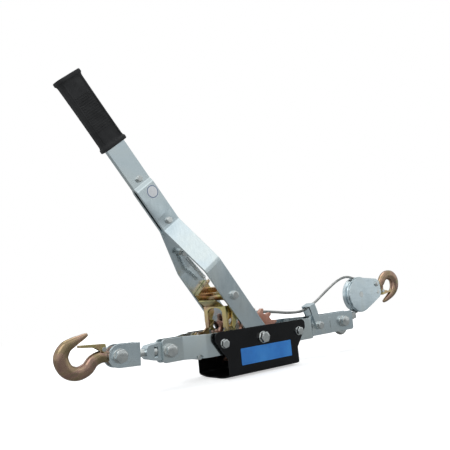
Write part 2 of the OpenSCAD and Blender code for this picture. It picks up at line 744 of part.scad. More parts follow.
// ---------- springs ----------
// Helix between two hooks: each hook is a loop of radius ra or rb
// round the point A or B that it holds on to
coil_r = (spring_outside - spring_wire) / 2;
function loop_end(C, e, u, r) = [for (a = [200:20:480])
  let (q = cos(a) * e + sin(a) * u) [C + r * q, -q]];
function turned(L) = [for (i = [len(L) - 1:-1:0]) L[i]];
function coil(A, ra, B, rb, turns) = let (
  d = unit(B - A),
  u = unit(cross(d, [0, 1, 0])),
  v = cross(d, u),
  n = turns * 8,
  start = A + d * (ra + 6),
  finish = B - d * (rb + 6),
  body = norm(finish - start))
  concat(
    turned(loop_end(A, -d, u, ra)),
    [[A + d * (ra + 3), u]],
    [for (i = [0:n]) let (a = 45 * i,
      k = min(1, min(i, n - i) / 4),
      w = cos(a) * u + sin(a) * v)
      [start + d * body * i / n + w * coil_r * k, w]],
    [[B - d * (rb + 3), u]],
    loop_end(B, d, u, rb));
module spring(A, ra, B, rb, turns) {
  P = coil(A, ra, B, rb, turns);
  echo(spring_gap = least_gap([for (p = P) p[0]], 6, spring_wire));
  skin(tube_rings([for (p = P) p[0]], [for (p = P) p[1]], spring_wire / 2, 6));
}
wire_seat = spring_wire / 2 + 0.3;
drive_spring_turns = 26;
hold_spring_turns = 13;
// Middle of the loop on the spring bolt and of the loop in the flange
drive_hook_a = [spring_bolt_at - 9 * sin(slant_angle), slant_y - 9 * cos(slant_angle), 0];
flange_hook = 4.2;
drive_hook_b = [118.2, drive_in - 6, -15.5];
module drive_pawl_spring() color("silver") on_handle()
  spring(drive_hook_a, small_thread / 2 + wire_seat, drive_hook_b, flange_hook,
    drive_spring_turns);

// ---------- holding pawl ----------
hold_claw = [polar(45.3, 199.3), polar(51.5, 200.5), [-56, -24], [-66, -20], [-84, -8],
  [-78, 4], [-62, -4], polar(51.5, 190), polar(45.3, 195.3)];
hold_lever = [[-94, -6], [-96, 5], [-94, 15], [-89, 19], [-82, 18], [-74, 18],
  [-67, 24], [-67, 61], [-50, 61], [-50, 46], [-62.5, 37], [-62.5, 24], [-61, 8],
  [-66, -10], [-84, -11]];
module hold_wall() difference() {
  union() {
    translate([-guard_bolt_at, 0]) rotate(-hold_lift) translate([guard_bolt_at, 0])
      polygon(hold_claw);
    polygon(hold_lever);
    translate([-guard_bolt_at, 0]) circle(r = 11);
  }
  translate([-guard_bolt_at, 0]) circle(d = long_spacer + 2 * run_clearance);
}
tab_half = hold_in - 4.6;
window_half = hold_in - 7.6;
stud_x = -88.5;
stud_z = 14;
stud_y = hold_in - 4.1;
module holding_pawl() color([0.72, 0.6, 0.25]) placed() {
  slab(-hold_half, -hold_in) hold_wall();
  slab(hold_in, hold_half) hold_wall();
  // Web with its window, and the finger tab
  difference() {
    union() {
      slab(-hold_in, hold_in) polygon([[-67, 24], [-64, 24], [-64, 61], [-67, 61]]);
      slab(-tab_half, tab_half)
        polygon([[-64, 58], [-64, 61], [-81, 73], [-82.5, 71], [-67, 60], [-67, 58]]);
    }
    translate([-70, -window_half, 20]) cube([10, 2 * window_half, 30]);
    translate([-70, 0, 50]) rotate([0, 90, 0]) scale([0.4, 1, 1])
      cylinder(r = window_half, h = 10);
  }
  bar_y(stud_x, stud_z, 4, stud_y - 3, hold_in + 0.1);
}
module holding_pawl_spring() color("silver") placed()
  spring([stud_x, stud_y, stud_z], 2 + wire_seat, [-post_at, stud_y - 6.5, -post_drop],
    post_diameter / 2 + wire_seat, hold_spring_turns);

// ---------- left end ----------
// In these pieces u runs from the yoke bolt towards the hook, as -X
module frame_yoke() color("lightsteelblue") at_yoke() {
  difference() {
    union() {
      slab(-6.6, 6.6) {
        circle(r = 14.5);
        polygon([[0, 14.5], [-18, 14.5], [-28, 13.2], [-28, -13.2], [-18, -14.5], [0, -14.5]]);
      }
      slab(-9, 9)
        polygon([[-23.5, 13.6], [-38, 11], [-41.5, 7], [-41.5, -7], [-38, -11], [-23.5, -13.6]]);
    }
    bar_y(0, 0, big_thread + 2 * hole_clearance, -20, 20);
    translate([-28, -12, -9]) cube([8.5, 24, 18]);
    bar_x(-50, -25, swivel_diameter + 2 * run_clearance);
  }
}
module yoke_bolt() color("silver") placed()
  bolt_set(-yoke_at, 0, big_thread, big_flats, -end_half, end_half, end_half + 14);
module swivel_pin() color("silver") at_yoke() {
  bar_x(-27.5, -21.5, 16);
  bar_x(clevis_wall - 7, -25, swivel_diameter);
  bar_x(clevis_wall - 11, clevis_wall - 5.1, 17);
}
module hook_clevis() color("lightsteelblue") at_yoke() {
  difference() {
    union() {
      for (s = [-1, 1])
        slab(s > 0 ? clevis_in : -clevis_out, s > 0 ? clevis_out : -clevis_in) {
          translate([-clevis_at, 0]) circle(r = clevis_half);
          translate([-clevis_at, -clevis_half]) square([clevis_at + clevis_wall, 2 * clevis_half]);
        }
      translate([clevis_wall - 5, -clevis_in, -clevis_half]) cube([5, 2 * clevis_in, 2 * clevis_half]);
    }
    bar_y(-clevis_at, 0, big_thread + 2 * hole_clearance, -20, 20);
    bar_x(clevis_wall - 8, clevis_wall + 1, swivel_diameter + 2 * hole_clearance);
    bar_x(clevis_wall - 12, clevis_wall - 5, 18);
  }
}
module clevis_bolt() color("silver") at_yoke()
  bolt_set(-clevis_at, 0, big_thread, big_flats, -clevis_out, clevis_out, clevis_out + 13);

// ---------- hooks ----------
// Centre line from the shank round the bowl to the tip:
// along, across, half width, half thickness
hook_bend = [[-24, -9.5, 10, 7], [-14, -20, 10.4, 7.5], [2, -25, 10.5, 7.8],
  [18, -18.5, 11, 8], [26, -1, 11.5, 8], [19, 14, 9.8, 7.4], [6, 21.4, 7.4, 6.2],
  [-4, 25.6, 5.4, 4.8], [-11, 28.6, 4.2, 4], [-16, 30.6, 2.6, 3]];
load_bend = [[-20, -14, 8.4, 6.8], [-10.7, -21.5, 8.6, 7.2], [2.5, -24.3, 9.9, 7.6],
  [17, -19.4, 11.2, 7.8], [24, -9, 11.6, 8], [23, 2, 11.2, 7.8], [17, 11.5, 9.8, 7.2],
  [5.6, 19.2, 7.8, 6.2], [-8, 24, 6, 5], [-19, 26.8, 4.6, 4], [-26, 28.2, 2.8, 3]];
hook_sides = 12;
module hook_sweep(points) {
  C = smooth(points, 3);
  flat = [for (c = C) [c[0], 0, c[1]]];
  skin([for (i = [0:len(C) - 1])
    let (t = heading(flat, i), nrm = cross(t, [0, 1, 0]))
    [for (j = [0:hook_sides - 1]) let (a = 360 * (j + 0.5) / hook_sides)
      flat[i] + C[i][2] * cos(a) * nrm - C[i][3] * sin(a) * [0, 1, 0]]]);
}
// Spring latch: flap with turned-down edges, pivot at [px, pz]
latch_angle = 1;
module latch(px, pz, reach) {
  translate([px, 0, pz]) rotate([0, -latch_angle, 0]) {
    translate([-3, -6, 6.4]) cube([reach + 3, 12, 1.6]);
    for (s = [-1, 1])
      slab(s > 0 ? 4.4 : -6, s > 0 ? 6 : -4.4)
        difference() {
          union() {
            circle(r = 4.2);
            polygon([[-4.2, 0], [-3, 8], [reach, 8], [reach, 4.4], [16, 3.4], [12, 2.4], [3.6, -2.2]]);
          }
          circle(d = 4 + 2 * run_clearance);
        }
  }
}
module latch_pin(px, pz) {
  bar_y(px, pz, 4, -6.6, 6.6);
  bar_y(px, pz, 7, -7.6, -6.2);
  bar_y(px, pz, 7, 6.2, 7.6);
}

// Left hook: bowl centre beyond the clevis bolt, opening upwards
module at_anchor() at_yoke() translate([-clevis_at - hook_reach, 0, bowl_rise])
  mirror([1, 0, 0]) children();
anchor_px = -40;
anchor_pz = 6.9;
module anchor_hook() color([0.75, 0.58, 0.25]) at_anchor() {
  difference() {
    union() {
      hook_sweep(concat([[-56, -bowl_rise, 8, 6], [-46, -4.8, 8.8, 6], [-36, -4.6, 9.6, 6.4]],
        hook_bend));
      bar_y(-hook_reach, -bowl_rise, 30, -6, 6);
      bar_y(anchor_px, anchor_pz, 9, -4, 4);
      slab(-4, 4) polygon([[-46, 0], [-44.4, anchor_pz], [-35.6, anchor_pz], [-34, -2]]);
    }
    bar_y(-hook_reach, -bowl_rise, big_thread + 2 * run_clearance, -20, 20);
    bar_y(anchor_px, anchor_pz, 4 + 2 * hole_clearance, -20, 20);
  }
}
module anchor_latch() color([0.75, 0.58, 0.25]) at_anchor() latch(anchor_px, anchor_pz, 38);
module anchor_latch_pin() color("silver") at_anchor() latch_pin(anchor_px, anchor_pz);

// ---------- pulley block ----------
// End corner of the plates, angle at which their straight edges leave the
// round end, and place and diameter of the two rivets
block_corner = [57, 20];
lobe_tangent = atan2(block_corner[1], block_corner[0]) + acos(block_lobe / norm(block_corner));
rivet_x = 54.5;
rivet_z = 8.8;
rivet_diameter = 5;
module block_plate(a, b) color("lightsteelblue") at_block() difference() {
  union() {
    bar_y(0, 0, 2 * block_lobe, a, b);
    slab(a, b) polygon([polar(block_lobe - 0.3, lobe_tangent), block_corner, [65, 12.5],
      [65, -12.5], [block_corner[0], -block_corner[1]], polar(block_lobe - 0.3, -lobe_tangent)]);
  }
  bar_y(0, 0, sheave_axle_diameter + 2 * hole_clearance, a - 1, b + 1);
  for (s = [-1, 1]) bar_y(rivet_x, s * rivet_z, rivet_diameter + 2 * hole_clearance, a - 1, b + 1);
}
module block_plate_near() block_plate(-block_out, -block_in);
module block_plate_far() block_plate(block_in, block_out);

module sheave() color("silver") at_block() rotate([90, 0, 0]) {
  bore = sheave_axle_diameter / 2 + run_clearance;
  floor_r = sheave_wrap - cable_r - 0.3;
  rotate_extrude($fn = 72) difference() {
    polygon([[bore, -sheave_half], [12, -sheave_half], [13, -sheave_half + 1.2],
      [26, -sheave_half + 1.2], [27, -sheave_half], [sheave_radius, -sheave_half],
      [sheave_radius, -5.2], [sheave_wrap, -cable_r - 0.3], [sheave_wrap, cable_r + 0.3],
      [sheave_radius, 5.2], [sheave_radius, sheave_half], [27, sheave_half],
      [26, sheave_half - 1.2], [13, sheave_half - 1.2], [12, sheave_half], [bore, sheave_half]]);
    translate([sheave_wrap, 0]) circle(r = sheave_wrap - floor_r, $fn = 32);
  }
}
module sheave_axle() color("silver") at_block() {
  bar_y(0, 0, sheave_axle_diameter, -block_out, block_out + 1.2);
  bar_y(0, 0, sheave_axle_diameter + 5, block_out, block_out + 2);
}
module swivel_block() color("lightsteelblue") at_block() {
  difference() {
    slab(-block_in, block_in) square_view();
    bar_x(40, 70, shank_diameter + 2 * run_clearance);
    for (s = [-1, 1]) bar_y(rivet_x, s * rivet_z, rivet_diameter + 2 * hole_clearance, -20, 20);
  }
}
module square_view() polygon([[48, -12.4], [62, -12.4], [62, 12.4], [48, 12.4]]);
module block_rivet(s, near_head, near_height) {
  bar_y(rivet_x, s * rivet_z, rivet_diameter, -block_out - near_height, block_out + 1);
  bar_y(rivet_x, s * rivet_z, near_head, -block_out - near_height, -block_out);
  bar_y(rivet_x, s * rivet_z, rivet_diameter + 3, block_out, block_out + 1.6);
}
module block_rivet_upper() color("silver") at_block() block_rivet(1, rivet_diameter + 6, 3);
module block_rivet_lower() color("silver") at_block() block_rivet(-1, rivet_diameter + 3, 0.8);

// Right hook: shank through the swivel block, opening downwards
module at_load() at_block() translate([block_reach, 0, -8]) mirror([0, 0, 1]) children();
load_px = -27;
load_pz = 4.4;
module load_hook() color([0.75, 0.58, 0.25]) {
  at_load() difference() {
    union() {
      hook_sweep(concat([[-38.4, -8, 7.4, 6], [-35.4, -8, 8.2, 6.2], [-29, -9, 8.4, 6.5]],
        load_bend));
      bar_y(load_px, load_pz, 9, -4, 4);
      slab(-4, 4) polygon([[-33, -4], [-31.4, load_pz], [-22.6, load_pz], [-20, -8]]);
    }
    bar_y(load_px, load_pz, 4 + 2 * hole_clearance, -20, 20);
  }
  at_block() {
    bar_x(44, 68, shank_diameter);
    bar_x(41, 47.8, 14);
  }
}
module load_latch() color([0.75, 0.58, 0.25]) at_load() latch(load_px, load_pz, 27);
module load_latch_pin() color("silver") at_load() latch_pin(load_px, load_pz);

// ---------- drawing ----------
frame_plate_near();
frame_plate_far();
axle_tube();
main_bolt();
handle_bush_near();
handle_bush_far();
spacers_left();
spacers_right();
guard_bolt_left();
guard_bolt_right();
guard();
label_plate();
spring_post();
drum();
ratchet_near();
ratchet_far();
cable_inner();
cable_winding();
cable_run();
cable_eye();
cable_ferrule();
thimble();
end_bolt();
guide_strap();
strap_bolt();
handle_strip_near();
handle_strip_far();
handle_bolt_upper();
handle_bolt_lower();
handle_spacer();
handle_sticker();
grip();
drive_pawl();
drive_pawl_bolt();
spring_bolt();
drive_pawl_spring();
holding_pawl();
holding_pawl_spring();
frame_yoke();
yoke_bolt();
swivel_pin();
hook_clevis();
clevis_bolt();
anchor_hook();
anchor_latch();
anchor_latch_pin();
block_plate_near();
block_plate_far();
sheave();
sheave_axle();
swivel_block();
block_rivet_upper();
block_rivet_lower();
load_hook();
load_latch();
load_latch_pin();
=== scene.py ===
import math
import bmesh
import bpy
from mathutils import Matrix, Vector


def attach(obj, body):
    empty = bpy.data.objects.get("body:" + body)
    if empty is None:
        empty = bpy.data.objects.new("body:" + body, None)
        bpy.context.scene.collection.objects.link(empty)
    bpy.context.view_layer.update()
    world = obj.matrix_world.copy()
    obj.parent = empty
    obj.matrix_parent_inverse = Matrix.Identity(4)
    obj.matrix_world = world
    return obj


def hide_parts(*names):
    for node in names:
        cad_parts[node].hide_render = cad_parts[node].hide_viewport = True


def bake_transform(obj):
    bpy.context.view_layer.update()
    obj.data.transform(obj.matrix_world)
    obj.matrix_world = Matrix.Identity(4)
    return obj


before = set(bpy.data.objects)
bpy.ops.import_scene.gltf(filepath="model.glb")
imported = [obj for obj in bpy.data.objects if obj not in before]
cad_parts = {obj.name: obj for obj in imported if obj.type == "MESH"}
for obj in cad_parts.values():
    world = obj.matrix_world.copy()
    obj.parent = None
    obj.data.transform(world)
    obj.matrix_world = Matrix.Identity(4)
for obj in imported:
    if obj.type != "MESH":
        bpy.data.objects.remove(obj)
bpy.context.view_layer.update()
scene = bpy.context.scene

# ---------------------------------------------------------------------------
# Measures, in millimetres from the main axle, as the CAD source has them
# ---------------------------------------------------------------------------
MID_X, AXLE_Z = 45.0, 60.0
HANDLE_DEG, YOKE_DEG, BLOCK_DEG = 125.0, 2.8, 10.0
YOKE_AT, END_BOLT_AT, STRAP_AT, GUARD_BOLT_AT = 171.0, 245.0, 172.0, 86.0
POST_AT, POST_DROP, POST_R = 126.0, 17.0, 4.0
CLEVIS_AT, HOOK_REACH, BOWL_RISE = 90.0, 64.0, 5.5
SHEAVE_X, SHEAVE_Z, BLOCK_REACH, LOAD_DROP = 312.0, 48.0, 104.0, 8.0
# Along the handle: its cross bolts, the round sticker and the grip
PAWL_BOLT_AT, SPRING_BOLT_AT, LOWER_BOLT_AT, UPPER_BOLT_AT = 95.0, 197.0, 260.0, 345.0
STICKER_AT, GRIP_AT, GRIP_LENGTH = 315.0, 411.0, 130.0
# The fork: where the strips bend, their half width there and above it
FORK_LOW, FORK_HIGH, STRIP_OUT, STRIP_IN, NECK_HALF = 162.0, 252.0, 42.5, 38.5, 7.0
HALF_BAR = 19.0
# Cable: turns on the drum, where it leaves the drum, and the eye at its end
LAYER_R, WRAP_R, PITCH, TURNS = 37.0, 42.3, 5.7, 8
EYE_X, EYE_Z, EYE_R = 247.5, -6.8, 18.8
SPRING_WIRE, SPRING_OUTSIDE = 1.5, 8.0
# Bolt sizes: thread diameter and width across flats
M6, M8, M10, M12 = (6, 10), (8, 13), (10, 17), (12, 19)


def row(x, y, z):
    """A point in the row frame, in metres, from millimetres round the axle."""
    return Vector(((x - MID_X) / 1000, y / 1000, (z + AXLE_Z) / 1000))


def turned(x, z, deg):
    """x and z turned about Y as OpenSCAD's rotate([0, deg, 0]) does."""
    t = math.radians(deg)
    return x * math.cos(t) + z * math.sin(t), -x * math.sin(t) + z * math.cos(t)


def on_handle(s, y, z):
    a, b = turned(s, z, -HANDLE_DEG)
    return row(a, y, b)


def at_yoke(x, y, z):
    a, b = turned(x, z, YOKE_DEG)
    return row(a - YOKE_AT, y, b)


def at_block(x, y, z):
    a, b = turned(x, z, -BLOCK_DEG)
    return row(a + SHEAVE_X, y, b + SHEAVE_Z)


def at_anchor(x, y, z):
    return at_yoke(-CLEVIS_AT - HOOK_REACH - x, y, BOWL_RISE + z)


def at_load(x, y, z):
    return at_block(BLOCK_REACH + x, y, -LOAD_DROP - z)


def photo_camera():
    """The camera that fits about sixty points measured in the photograph."""
    data = bpy.data.cameras.new("camera")
    cam = bpy.data.objects.new("camera", data)
    scene.collection.objects.link(cam)
    right = Vector((0.79055, -0.60480, -0.09618))
    up = Vector((0.01866, -0.13319, 0.99091))
    back = -Vector((0.61211, 0.78516, 0.09401))
    turn = Matrix((right, up, back)).transposed().to_4x4()
    cam.matrix_world = Matrix.Translation(row(-698.32, -863.08, 100.20)) @ turn
    data.sensor_width = 36
    data.lens = 48.612
    data.clip_start, data.clip_end = 0.02, 60
    scene.camera = cam


photo_camera()


# ---------------------------------------------------------------------------
# Mesh helpers
# ---------------------------------------------------------------------------
def circle(n):
    """n angles that go once round, in radians."""
    return [2 * math.pi * j / n for j in range(n)]


def make(name, verts, faces, material, sharp=None):
    """A mesh object: flat shaded, or smooth up to the angle sharp in degrees."""
    mesh = bpy.data.meshes.new(name)
    mesh.from_pydata([tuple(v) for v in verts], [], faces)
    mesh.update()
    ob = bpy.data.objects.new(name, mesh)
    scene.collection.objects.link(ob)
    mesh.materials.append(material)
    for p in mesh.polygons:
        p.use_smooth = sharp is not None
    if sharp is not None:
        mesh.set_sharp_from_angle(angle=math.radians(sharp))
    return ob


def fitted(piece, body, node):
    """The piece moves with the body and stands for the node, whose CAD part is hidden."""
    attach(piece, body)
    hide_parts(node)


def skin(rings, n, base=0, caps=True):
    """Faces over rings of n vertices each, the first of which starts at vertex base."""
    faces = []
    for a in range(base, base + (rings - 1) * n, n):
        for j in range(n):
            k = (j + 1) % n
            faces.append((a + j, a + k, a + n + k, a + n + j))
    if caps:
        faces.append(tuple(base + j for j in reversed(range(n))))
        faces.append(tuple(base + (rings - 1) * n + j for j in range(n)))
    return faces


def frames(path):
    """Tangent and two side vectors along a path, without twist."""
    last = len(path) - 1
    out = []
    side = None
    for i in range(len(path)):
        t = (path[min(i + 1, last)] - path[max(i - 1, 0)]).normalized()
        if side is None:
            ref = Vector((0, 1, 0)) if abs(t.y) < 0.9 else Vector((1, 0, 0))
            side = ref - ref.dot(t) * t
        side = (side - side.dot(t) * t).normalized()
        out.append((t, side, t.cross(side)))
    return out


def curve(points, per):
    """A smooth curve through the points, in per steps from each one to the next."""
    last = len(points) - 1
    fine = []
    for i in range(last):
        a, b, c, d = points[max(i - 1, 0)], points[i], points[i + 1], points[min(i + 2, last)]
        for k in range(per):
            t = k / per
            fine.append(0.5 * (2 * b + (c - a) * t + (2 * a - 5 * b + 4 * c - d) * t * t
                               + (3 * b - a - 3 * c + d) * t ** 3))
    return fine + [points[-1]]


def resample(points, step):
    """Points a given distance apart along a smooth curve through the points."""
    fine = curve(points, 12)
    out = [fine[0]]
    left = step
    for a, b in zip(fine, fine[1:]):
        length = (b - a).length
        at = 0.0
        while length - at >= left:
            at += left
            out.append(a + (b - a) * (at / length))
            left = step
        left -= length - at
    if (out[-1] - fine[-1]).length > step * 0.3:
        out.append(fine[-1])
    return out


def tube(path, radius, sides):
    """Vertices and faces of a round tube along the path."""
    verts = [p + radius * (math.cos(a) * u + math.sin(a) * v)
             for p, (_, u, v) in zip(path, frames(path)) for a in circle(sides)]
    return verts, skin(len(path), sides)


def rope(path, radius, per=5, strands=6, lay=0.034):
    """A stranded wire rope: its lobed outline turns once along each lay."""
    verts = []
    run = 0.0
    for i, (p, (_, u, v)) in enumerate(zip(path, frames(path))):
        if i:
            run += (p - path[i - 1]).length
        twist = 2 * math.pi * run / lay
        for a in circle(strands * per):
            # Across one strand, from -0.5 to 0.5
            q = (a * strands / (2 * math.pi)) % 1.0 - 0.5
            r = radius * (0.80 + 0.20 * math.sqrt(max(0.0, 1 - (2 * q) ** 2 * 0.82)))
            verts.append(p + r * (math.cos(a + twist) * u + math.sin(a + twist) * v))
    return verts, skin(len(path), strands * per)


class Build:
    """Collects turned and prism shapes in one local frame into a single mesh."""

    def __init__(self, place):
        self.place = place
        self.verts, self.faces = [], []

    def rings(self, rings, caps=True):
        """Rings are lists of local points, all of one length."""
        self.faces += skin(len(rings), len(rings[0]), len(self.verts), caps)
        for r in rings:
            self.verts += [self.place(*p) for p in r]

    def lathe(self, profile, x, z, n=48):
        """A turned solid about the Y axis through x, z: profile is (y, radius)."""
        self.rings([[(x + r * math.cos(a), y, z + r * math.sin(a)) for a in circle(n)]
                    for y, r in profile])

    def hexagon(self, x, z, flats, y0, y1, spin, both_ends):
        """A hexagon whose corners a cone cuts off at y0, and at y1 if both_ends."""
        corner, slope = flats / 2 * 0.985, 0.58

        def hex_radius(a):
            return flats / 2 / math.cos((a - spin) % (math.pi / 3) - math.pi / 6)

        def ring(radius_at, y_at):
            out = []
            for a in circle(72):
                r = radius_at(a)
                out.append((x + r * math.cos(a), y_at(r), z + r * math.sin(a)))
            return out

        def cut(y, sign):
            """Rings of a cut end, from its middle outwards."""
            return [ring(lambda a: corner * 0.6, lambda r: y), ring(lambda a: corner, lambda r: y),
                    ring(hex_radius, lambda r: y + sign * (r - corner) * slope)]

        far = cut(y1, -1)[::-1] if both_ends else [ring(hex_radius, lambda r: y1)]
        self.rings(cut(y0, 1) + far)

    def thread(self, x, z, d, y0, y1, pitch, n=24, per=6):
        """A threaded end: the radius follows the pitch round and along, in per steps each."""
        steps = max(2, int(round((y1 - y0) / pitch * per)))
        depth = pitch * 0.5
        rings = []
        for i in range(steps + 1):
            y = y0 + (y1 - y0) * i / steps
            fade = min(1.0, (y1 - y) / pitch)
            ring = []
            for j, a in enumerate(circle(n)):
                phase = (i / per + j / n) % 1.0
                r = min(d / 2 - depth * (1 - abs(2 * phase - 1)),
                        d / 2 - depth * 0.9 * (1 - fade))
                ring.append((x + r * math.cos(a), y, z + r * math.sin(a)))
            rings.append(ring)
        self.rings(rings)

    def done(self, name, material, sharp=30):
        ob = make(name, self.verts, self.faces, material, sharp)
        bm = bmesh.new()
        bm.from_mesh(ob.data)
        bmesh.ops.recalc_face_normals(bm, faces=bm.faces)
        bm.to_mesh(ob.data)
        bm.free()
        ob.data.set_sharp_from_angle(angle=math.radians(sharp))
        return ob


# ---------------------------------------------------------------------------
# Materials
# ---------------------------------------------------------------------------
class Nodes:
    """Short ways to add shader nodes to a material or a world, and to join them."""

    def __init__(self, owner):
        owner.use_nodes = True
        self.tree = owner.node_tree
        self.tree.nodes.clear()

    def new(self, kind, **props):
        n = self.tree.nodes.new(kind)
        for k, v in props.items():
            setattr(n, k, v)
        return n

    def link(self, a, b):
        self.tree.links.new(a, b)

    def feed(self, socket, value):
        """Sets a socket to a number or a colour, or links an output to it."""
        if isinstance(value, (int, float)):
            socket.default_value = value
        elif isinstance(value, tuple):
            socket.default_value = (*value, 1)
        else:
            self.link(value, socket)

    def ramp(self, fac, stops):
        """stops are (position, colour)."""
        r = self.new("ShaderNodeValToRGB")
        e = r.color_ramp.elements
        while len(e) > 1:
            e.remove(e[0])
        e[0].position, e[0].color = stops[0][0], (*stops[0][1], 1)
        for pos, col in stops[1:]:
            e.new(pos).color = (*col, 1)
        self.link(fac, r.inputs["Fac"])
        return r.outputs["Color"]

    def span(self, fac, a, b, lo=0.0, hi=1.0, **props):
        """lo where fac is a, hi where it is b."""
        m = self.new("ShaderNodeMapRange", **props)
        for key, v in (("From Min", a), ("From Max", b), ("To Min", lo), ("To Max", hi)):
            m.inputs[key].default_value = v
        self.link(fac, m.inputs["Value"])
        return m.outputs[0]

    def mix(self, fac, a, b, mode="MIX"):
        m = self.new("ShaderNodeMix", data_type="RGBA", blend_type=mode)
        for i, value in ((0, fac), (6, a), (7, b)):
            self.feed(m.inputs[i], value)
        return m.outputs[2]

    def math(self, op, a, b):
        m = self.new("ShaderNodeMath", operation=op)
        self.feed(m.inputs[0], a)
        self.feed(m.inputs[1], b)
        return m.outputs[0]


class Finish(Nodes):
    """A material with one Principled shader, in object coordinates."""

    def __init__(self, name):
        self.mat = bpy.data.materials.new(name)
        super().__init__(self.mat)
        self.bsdf = self.new("ShaderNodeBsdfPrincipled")
        self.link(self.bsdf.outputs[0], self.new("ShaderNodeOutputMaterial").inputs[0])
        self.coord = self.new("ShaderNodeTexCoord").outputs["Object"]

    def stretch(self, scale, turn):
        m = self.new("ShaderNodeMapping")
        m.inputs["Scale"].default_value = scale
        m.inputs["Rotation"].default_value = turn
        self.link(self.coord, m.inputs["Vector"])
        return m.outputs[0]

    def noise(self, scale, detail=3.0, rough=0.5, vector=None, distort=0.0):
        n = self.new("ShaderNodeTexNoise")
        for key, v in (("Scale", scale), ("Detail", detail), ("Roughness", rough),
                       ("Distortion", distort)):
            n.inputs[key].default_value = v
        self.link(self.coord if vector is None else vector, n.inputs["Vector"])
        return n.outputs["Fac"]

    def edges(self, radius):
        """1 on an outer edge, 0 on a flat, and the rounded normal."""
        bevel = self.new("ShaderNodeBevel", samples=6)
        bevel.inputs["Radius"].default_value = radius
        dot = self.new("ShaderNodeVectorMath", operation="DOT_PRODUCT")
        self.link(bevel.outputs[0], dot.inputs[0])
        self.link(self.new("ShaderNodeNewGeometry").outputs["Normal"], dot.inputs[1])
        return self.span(dot.outputs["Value"], 0.995, 0.80), bevel.outputs[0]

    def bump(self, height, strength, distance, normal=None):
        b = self.new("ShaderNodeBump")
        b.inputs["Strength"].default_value = strength
        b.inputs["Distance"].default_value = distance
        self.link(height, b.inputs["Height"])
        if normal is not None:
            self.link(normal, b.inputs["Normal"])
        return b.outputs[0]

    def set(self, name, value):
        self.feed(self.bsdf.inputs[name], value)


def arched(k, start, end, sag):
    """Height, in metres, of an arch pressed across the handle from start to end."""
    axle = on_handle(0, 0, 0)

    def along(direction):
        move = k.new("ShaderNodeVectorMath", operation="SUBTRACT")
        k.link(k.coord, move.inputs[0])
        move.inputs[1].default_value = axle
        dot = k.new("ShaderNodeVectorMath", operation="DOT_PRODUCT")
        k.link(move.outputs[0], dot.inputs[0])
        dot.inputs[1].default_value = direction
        return dot.outputs["Value"]

    lengthwise = along(on_handle(1000, 0, 0) - axle)
    across = k.math("MULTIPLY", along(on_handle(0, 0, 1000) - axle), 1000 / HALF_BAR)
    shape = k.math("SUBTRACT", 1.0, k.math("MULTIPLY", across, across))
    there = k.math("MULTIPLY", k.span(lengthwise, start - 0.006, start + 0.012),
                   k.span(lengthwise, end + 0.008, end - 0.012))
    return k.math("MULTIPLY", k.math("MULTIPLY", shape, there), sag)


def plated(name, tones, blotch=12.0, streak=(4, 40, 40), turn=(0, 0, 0), rough=(0.17, 0.27),
           edge=(0.86, 0.88, 0.88), edge_r=0.0006, grime=(0.30, 0.30, 0.27), bump=0.03,
           speck=0.10, arch=None):
    """Electroplated steel: cloudy tints, rolling streaks, a painted highlight along outer edges,
    dull specks.
    """
    k = Finish(name)
    base = k.ramp(k.noise(blotch, distort=0.6), tones)
    lines = k.noise(9.0, 5.0, 0.6, k.stretch(streak, turn))
    base = k.mix(k.span(lines, 0.35, 0.75, 0.0, 0.10), base, tuple(c * 0.72 for c in tones[0][1]))
    specks = k.span(k.noise(330.0, 2.0, 0.6), 0.64, 0.76, 0.0, speck)
    base = k.mix(specks, base, grime)
    mask, normal = k.edges(edge_r)
    # Painted highlight: every outer edge is lightened towards the colour edge, more strongly in
    # patches
    edge_highlight = k.math("MULTIPLY", mask, k.span(k.noise(90.0), 0.35, 0.6, 0.25, 1.0))
    k.set("Base Color", k.mix(k.math("MULTIPLY", edge_highlight, 0.6), base, edge))
    k.set("Metallic", 1.0)
    k.set("Roughness", k.math("ADD", k.span(lines, 0.25, 0.8, *rough),
                              k.math("MULTIPLY", specks, 0.35)))
    if arch:
        normal = k.bump(arched(k, *arch), 1.0, 1.0, normal)
    fine = k.noise(14.0, 5.0, 0.7, k.stretch(tuple(6 * s for s in streak), turn))
    k.set("Normal", k.bump(fine, bump, 0.0004, normal))
    return k.mat


def wire_rope():
    k = Finish("wire_rope")
    base = k.ramp(k.noise(70.0, 4.0), [(0.3, (0.26, 0.26, 0.25)), (0.5, (0.40, 0.40, 0.39)),
                                       (0.72, (0.52, 0.51, 0.49))])
    oil = k.span(k.noise(900.0, 2.0), 0.42, 0.62, 0.0, 0.55)
    k.set("Base Color", k.mix(oil, base, (0.12, 0.115, 0.11)))
    k.set("Metallic", 1.0)
    k.set("Roughness", k.span(k.noise(400.0, 2.0), 0.3, 0.7, 0.28, 0.5))
    k.set("Normal", k.bump(k.noise(1500.0, 2.0), 0.35, 0.0003))
    return k.mat


def black_paint():
    """Gloss paint with a little dust, chipped along its edges."""
    k = Finish("black_gloss_paint")
    base = k.ramp(k.noise(18.0), [(0.3, (0.003, 0.003, 0.0035)), (0.7, (0.006, 0.006, 0.007))])
    base = k.mix(k.span(k.noise(420.0, 2.0), 0.68, 0.78, 0.0, 0.12), base, (0.06, 0.06, 0.06))
    mask, normal = k.edges(0.0007)
    chip = k.math("MULTIPLY", mask, k.span(k.noise(150.0, 2.0), 0.58, 0.66))
    k.set("Base Color", k.mix(chip, base, (0.16, 0.16, 0.16)))
    k.set("Metallic", 0.0)
    k.set("Roughness", k.span(k.noise(60.0), 0.3, 0.7, 0.16, 0.26))
    k.set("Specular IOR Level", 0.26)
    k.set("Normal", k.bump(k.noise(700.0, 2.0), 0.12, 0.0003, normal))
    return k.mat


